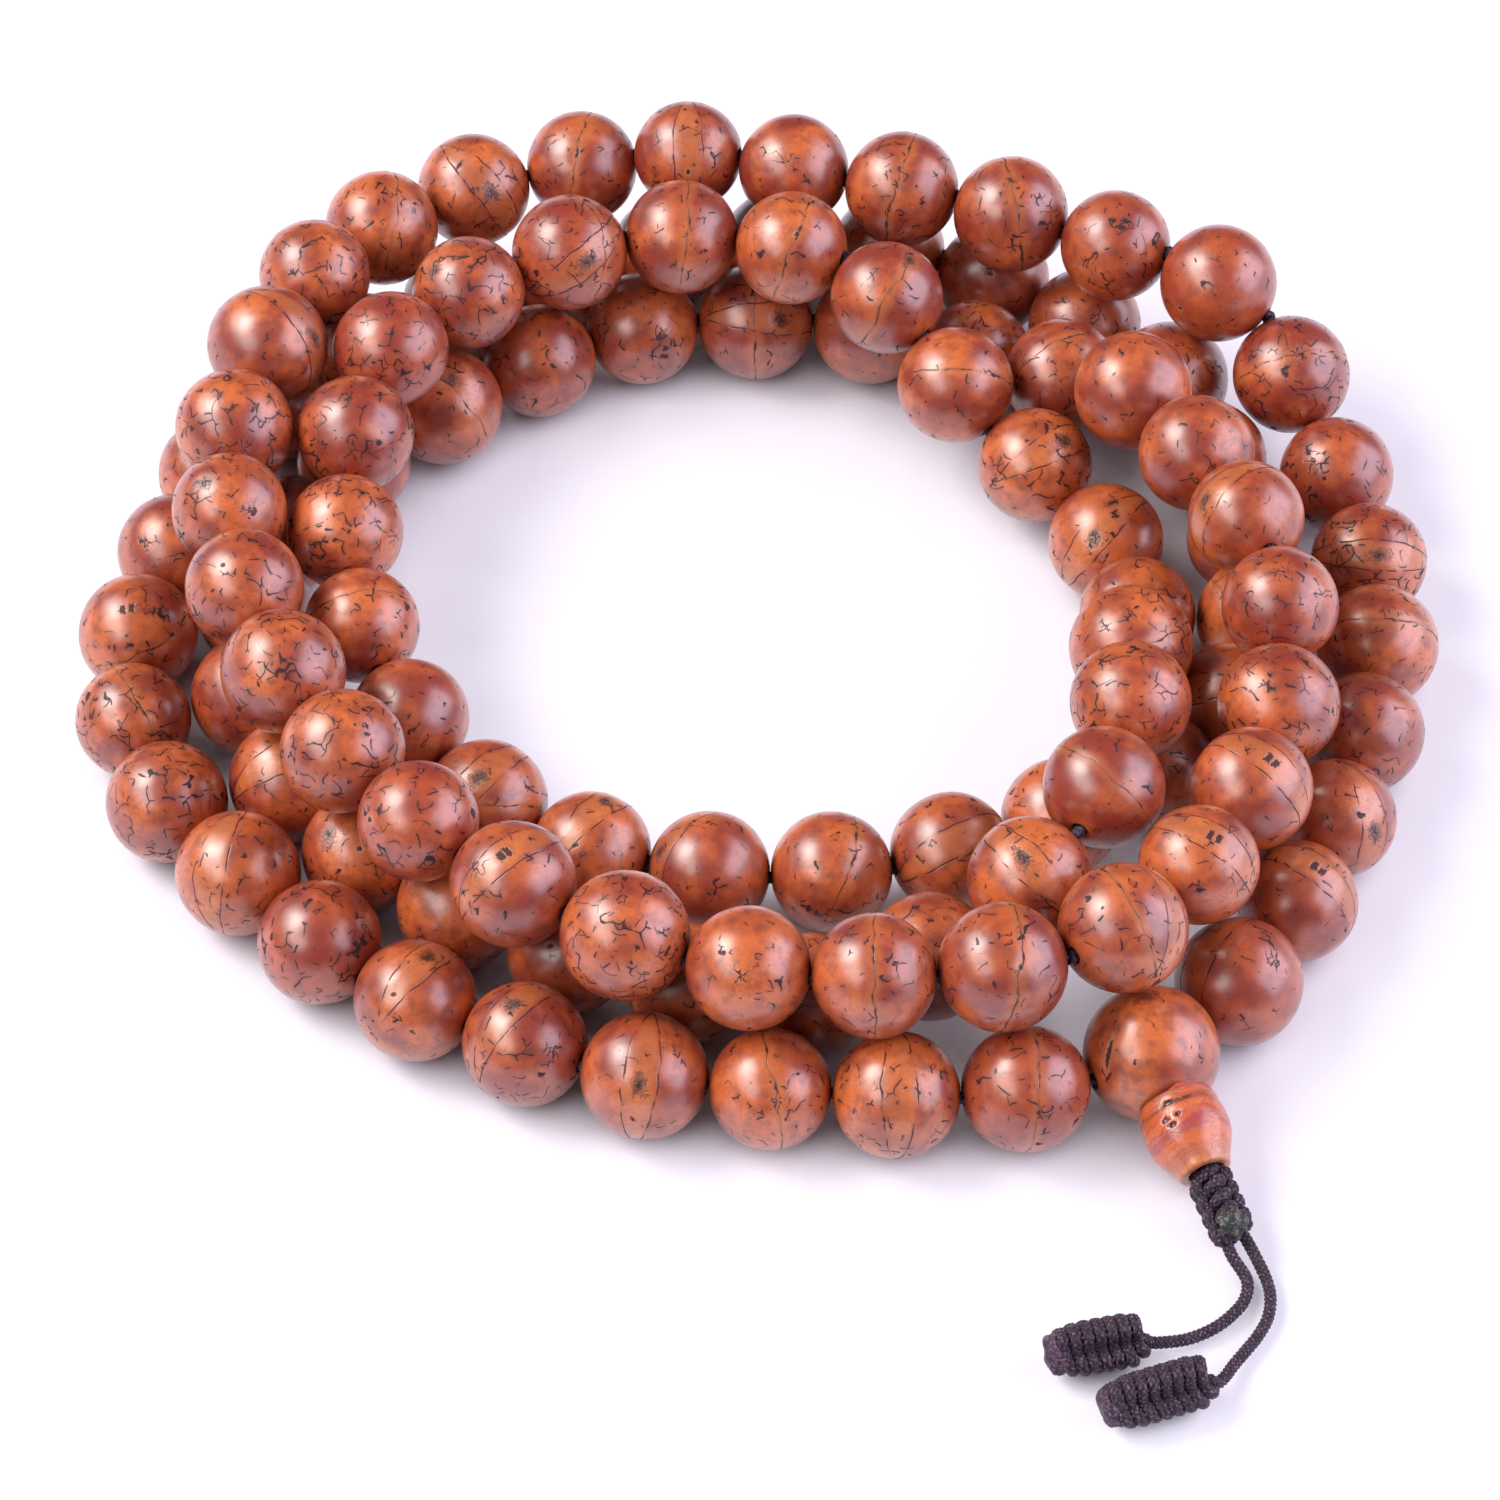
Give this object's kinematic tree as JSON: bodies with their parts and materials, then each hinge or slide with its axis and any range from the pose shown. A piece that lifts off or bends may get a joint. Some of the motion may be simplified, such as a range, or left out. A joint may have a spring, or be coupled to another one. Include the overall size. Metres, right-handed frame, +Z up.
{
  "type": "mala prayer beads",
  "caption": "Strand of round bodhi-seed beads on a cord, laid in a flat coil, with a guru bead, tower bead, tied binding and two knotted tails.",
  "frame": {"origin": "on the table under the middle of the box round the coil, guru bead, tower bead and binding knot, without the free tails", "axes": "+Z up from the table; -Y towards the guru bead and the tassel; +X to the right seen from the tassel side"},
  "size_m": [0.1162, 0.137, 0.0203],
  "materials": {
    "bodhi_seed": "polished, oiled by handling, with fine dark cracks and pits",
    "tower_seed": "polished, reddish, with dark pits",
    "cord": "waxed braided polyester, matt"
  },
  "bodies": {
    "strand": {"bead_run_001_011": "bodhi_seed", "bead_run_012_022": "bodhi_seed", "bead_run_023_033": "bodhi_seed", "bead_run_034_043": "bodhi_seed", "bead_run_044_054": "bodhi_seed", "bead_run_055_065": "bodhi_seed", "stringing_cord": "cord", "guru_bead": "bodhi_seed", "cord_pair": "cord", "binding_knot": "cord", "tail_cord_left": "cord", "end_knot_core_left": "cord", "end_knot_wrap_left": "cord", "tail_cord_right": "cord", "end_knot_core_right": "cord", "end_knot_wrap_right": "cord"},
    "tower_bead": {"tower_bead": "tower_seed"},
    "bead_066": {"bead_066": "bodhi_seed"},
    "bead_067": {"bead_067": "bodhi_seed"},
    "bead_068": {"bead_068": "bodhi_seed"},
    "bead_069": {"bead_069": "bodhi_seed"},
    "bead_070": {"bead_070": "bodhi_seed"},
    "bead_071": {"bead_071": "bodhi_seed"},
    "bead_072": {"bead_072": "bodhi_seed"},
    "bead_073": {"bead_073": "bodhi_seed"},
    "bead_074": {"bead_074": "bodhi_seed"},
    "bead_075": {"bead_075": "bodhi_seed"},
    "bead_076": {"bead_076": "bodhi_seed"},
    "bead_077": {"bead_077": "bodhi_seed"},
    "bead_078": {"bead_078": "bodhi_seed"},
    "bead_079": {"bead_079": "bodhi_seed"},
    "bead_080": {"bead_080": "bodhi_seed"},
    "bead_081": {"bead_081": "bodhi_seed"},
    "bead_082": {"bead_082": "bodhi_seed"},
    "bead_083": {"bead_083": "bodhi_seed"},
    "bead_084": {"bead_084": "bodhi_seed"},
    "bead_085": {"bead_085": "bodhi_seed"},
    "bead_086": {"bead_086": "bodhi_seed"},
    "bead_087": {"bead_087": "bodhi_seed"},
    "bead_088": {"bead_088": "bodhi_seed"},
    "bead_089": {"bead_089": "bodhi_seed"},
    "bead_090": {"bead_090": "bodhi_seed"},
    "bead_091": {"bead_091": "bodhi_seed"},
    "bead_092": {"bead_092": "bodhi_seed"},
    "bead_093": {"bead_093": "bodhi_seed"},
    "bead_094": {"bead_094": "bodhi_seed"},
    "bead_095": {"bead_095": "bodhi_seed"},
    "bead_096": {"bead_096": "bodhi_seed"},
    "bead_097": {"bead_097": "bodhi_seed"},
    "bead_098": {"bead_098": "bodhi_seed"},
    "bead_099": {"bead_099": "bodhi_seed"},
    "bead_100": {"bead_100": "bodhi_seed"},
    "bead_101": {"bead_101": "bodhi_seed"},
    "bead_102": {"bead_102": "bodhi_seed"},
    "bead_103": {"bead_103": "bodhi_seed"},
    "bead_104": {"bead_104": "bodhi_seed"},
    "bead_105": {"bead_105": "bodhi_seed"},
    "bead_106": {"bead_106": "bodhi_seed"},
    "bead_107": {"bead_107": "bodhi_seed"},
    "bead_108": {"bead_108": "bodhi_seed"}
  },
  "joints": [
    {"name": "tower_bead_spin", "type": "hinge", "parent": "strand", "child": "tower_bead", "pos_m": [0.03445, -0.04716, 0.00451], "axis": [0.3677, -0.9101, -0.1908], "continuous": true},
    {"name": "bead_066_spin", "type": "hinge", "parent": "strand", "child": "bead_066", "pos_m": [-0.01136, 0.04146, 0.00499], "axis": [0.9701, 0.2423, 0.0095], "continuous": true},
    {"name": "bead_067_spin", "type": "hinge", "parent": "strand", "child": "bead_067", "pos_m": [-0.00113, 0.04246, 0.00515], "axis": [0.9992, -0.0046, 0.0385], "continuous": true},
    {"name": "bead_068_spin", "type": "hinge", "parent": "strand", "child": "bead_068", "pos_m": [0.00923, 0.04203, 0.00508], "axis": [0.9912, -0.109, -0.0752], "continuous": true},
    {"name": "bead_069_spin", "type": "hinge", "parent": "strand", "child": "bead_069", "pos_m": [0.01878, 0.0389, 0.00485], "axis": [0.8597, -0.5082, 0.0515], "continuous": true},
    {"name": "bead_070_spin", "type": "hinge", "parent": "strand", "child": "bead_070", "pos_m": [0.02633, 0.03308, 0.00795], "axis": [0.5894, -0.5796, 0.5627], "continuous": true},
    {"name": "bead_071_spin", "type": "hinge", "parent": "strand", "child": "bead_071", "pos_m": [0.03225, 0.02624, 0.01278], "axis": [0.57, -0.7751, 0.2728], "continuous": true},
    {"name": "bead_072_spin", "type": "hinge", "parent": "strand", "child": "bead_072", "pos_m": [0.03749, 0.0176, 0.01372], "axis": [0.4396, -0.8978, 0.0282], "continuous": true},
    {"name": "bead_073_spin", "type": "hinge", "parent": "strand", "child": "bead_073", "pos_m": [0.04135, 0.00859, 0.01496], "axis": [0.3591, -0.9248, 0.1254], "continuous": true},
    {"name": "bead_074_spin", "type": "hinge", "parent": "strand", "child": "bead_074", "pos_m": [0.04394, -0.00092, 0.01414], "axis": [0.1276, -0.9616, -0.243], "continuous": true},
    {"name": "bead_075_spin", "type": "hinge", "parent": "strand", "child": "bead_075", "pos_m": [0.04355, -0.01091, 0.01261], "axis": [-0.1683, -0.9848, -0.0417], "continuous": true},
    {"name": "bead_076_spin", "type": "hinge", "parent": "strand", "child": "bead_076", "pos_m": [0.04089, -0.02081, 0.01297], "axis": [-0.3811, -0.9221, 0.0678], "continuous": true},
    {"name": "bead_077_spin", "type": "hinge", "parent": "strand", "child": "bead_077", "pos_m": [0.03635, -0.02972, 0.01358], "axis": [-0.4825, -0.869, 0.1094], "continuous": true},
    {"name": "bead_078_spin", "type": "hinge", "parent": "strand", "child": "bead_078", "pos_m": [0.03004, -0.03753, 0.01465], "axis": [-0.783, -0.6207, 0.0409], "continuous": true},
    {"name": "bead_079_spin", "type": "hinge", "parent": "strand", "child": "bead_079", "pos_m": [0.02048, -0.04152, 0.01424], "axis": [-0.9846, -0.1628, -0.0637], "continuous": true},
    {"name": "bead_080_spin", "type": "hinge", "parent": "strand", "child": "bead_080", "pos_m": [0.01033, -0.04237, 0.01392], "axis": [-0.9989, 0.0137, -0.0438], "continuous": true},
    {"name": "bead_081_spin", "type": "hinge", "parent": "strand", "child": "bead_081", "pos_m": [0.00036, -0.04142, 0.01342], "axis": [-0.9856, 0.1685, -0.0164], "continuous": true},
    {"name": "bead_082_spin", "type": "hinge", "parent": "strand", "child": "bead_082", "pos_m": [-0.00951, -0.03867, 0.0139], "axis": [-0.9274, 0.3658, 0.0779], "continuous": true},
    {"name": "bead_083_spin", "type": "hinge", "parent": "strand", "child": "bead_083", "pos_m": [-0.01868, -0.03394, 0.01448], "axis": [-0.8392, 0.5413, 0.0533], "continuous": true},
    {"name": "bead_084_spin", "type": "hinge", "parent": "strand", "child": "bead_084", "pos_m": [-0.02663, -0.02783, 0.01498], "axis": [-0.7342, 0.6782, 0.0327], "continuous": true},
    {"name": "bead_085_spin", "type": "hinge", "parent": "strand", "child": "bead_085", "pos_m": [-0.03332, -0.02037, 0.01507], "axis": [-0.5995, 0.8003, -0.0098], "continuous": true},
    {"name": "bead_086_spin", "type": "hinge", "parent": "strand", "child": "bead_086", "pos_m": [-0.03886, -0.01167, 0.01517], "axis": [-0.4754, 0.8791, 0.0349], "continuous": true},
    {"name": "bead_087_spin", "type": "hinge", "parent": "strand", "child": "bead_087", "pos_m": [-0.04291, -0.00222, 0.01522], "axis": [-0.2942, 0.9548, -0.0432], "continuous": true},
    {"name": "bead_088_spin", "type": "hinge", "parent": "strand", "child": "bead_088", "pos_m": [-0.04506, 0.00754, 0.0146], "axis": [-0.152, 0.9866, -0.0597], "continuous": true},
    {"name": "bead_089_spin", "type": "hinge", "parent": "strand", "child": "bead_089", "pos_m": [-0.04552, 0.01766, 0.01461], "axis": [0.0838, 0.9955, 0.0437], "continuous": true},
    {"name": "bead_090_spin", "type": "hinge", "parent": "strand", "child": "bead_090", "pos_m": [-0.04346, 0.02782, 0.01497], "axis": [0.2823, 0.9585, 0.0397], "continuous": true},
    {"name": "bead_091_spin", "type": "hinge", "parent": "strand", "child": "bead_091", "pos_m": [-0.04012, 0.03738, 0.01458], "axis": [0.3981, 0.9059, -0.1443], "continuous": true},
    {"name": "bead_092_spin", "type": "hinge", "parent": "strand", "child": "bead_092", "pos_m": [-0.03485, 0.04571, 0.01276], "axis": [0.6279, 0.7562, -0.1841], "continuous": true},
    {"name": "bead_093_spin", "type": "hinge", "parent": "strand", "child": "bead_093", "pos_m": [-0.027, 0.05214, 0.0118], "axis": [0.8908, 0.4536, -0.0277], "continuous": true},
    {"name": "bead_094_spin", "type": "hinge", "parent": "strand", "child": "bead_094", "pos_m": [-0.01725, 0.05473, 0.01254], "axis": [0.9759, 0.066, 0.2078], "continuous": true},
    {"name": "bead_095_spin", "type": "hinge", "parent": "strand", "child": "bead_095", "pos_m": [-0.00755, 0.05423, 0.01463], "axis": [0.9703, -0.182, 0.1592], "continuous": true},
    {"name": "bead_096_spin", "type": "hinge", "parent": "strand", "child": "bead_096", "pos_m": [0.00207, 0.05201, 0.01505], "axis": [0.967, -0.2526, -0.0332], "continuous": true},
    {"name": "bead_097_spin", "type": "hinge", "parent": "strand", "child": "bead_097", "pos_m": [0.01185, 0.04954, 0.01512], "axis": [0.97, -0.241, 0.0332], "continuous": true},
    {"name": "bead_098_spin", "type": "hinge", "parent": "strand", "child": "bead_098", "pos_m": [0.02164, 0.04647, 0.01504], "axis": [0.9297, -0.3613, -0.071], "continuous": true},
    {"name": "bead_099_spin", "type": "hinge", "parent": "strand", "child": "bead_099", "pos_m": [0.03092, 0.04263, 0.01497], "axis": [0.9142, -0.3852, 0.126], "continuous": true},
    {"name": "bead_100_spin", "type": "hinge", "parent": "strand", "child": "bead_100", "pos_m": [0.03996, 0.03824, 0.01469], "axis": [0.8328, -0.4809, -0.2742], "continuous": true},
    {"name": "bead_101_spin", "type": "hinge", "parent": "strand", "child": "bead_101", "pos_m": [0.04652, 0.03199, 0.00964], "axis": [0.4178, -0.7005, -0.5785], "continuous": true},
    {"name": "bead_102_spin", "type": "hinge", "parent": "strand", "child": "bead_102", "pos_m": [0.05038, 0.0233, 0.00585], "axis": [0.3155, -0.9327, -0.1747], "continuous": true},
    {"name": "bead_103_spin", "type": "hinge", "parent": "strand", "child": "bead_103", "pos_m": [0.05282, 0.01359, 0.00499], "axis": [0.1507, -0.9884, 0.0179], "continuous": true},
    {"name": "bead_104_spin", "type": "hinge", "parent": "strand", "child": "bead_104", "pos_m": [0.05303, 0.00334, 0.00515], "axis": [-0.0911, -0.9958, 0.0069], "continuous": true},
    {"name": "bead_105_spin", "type": "hinge", "parent": "strand", "child": "bead_105", "pos_m": [0.05143, -0.00686, 0.00504], "axis": [-0.2257, -0.9739, -0.0252], "continuous": true},
    {"name": "bead_106_spin", "type": "hinge", "parent": "strand", "child": "bead_106", "pos_m": [0.04864, -0.01654, 0.0049], "axis": [-0.326, -0.9453, -0.0039], "continuous": true},
    {"name": "bead_107_spin", "type": "hinge", "parent": "strand", "child": "bead_107", "pos_m": [0.04498, -0.02583, 0.00496], "axis": [-0.4073, -0.9132, 0.0158], "continuous": true},
    {"name": "bead_108_spin", "type": "hinge", "parent": "strand", "child": "bead_108", "pos_m": [0.03994, -0.03477, 0.00518], "axis": [-0.5676, -0.8229, 0.0261], "continuous": true}
  ]
}
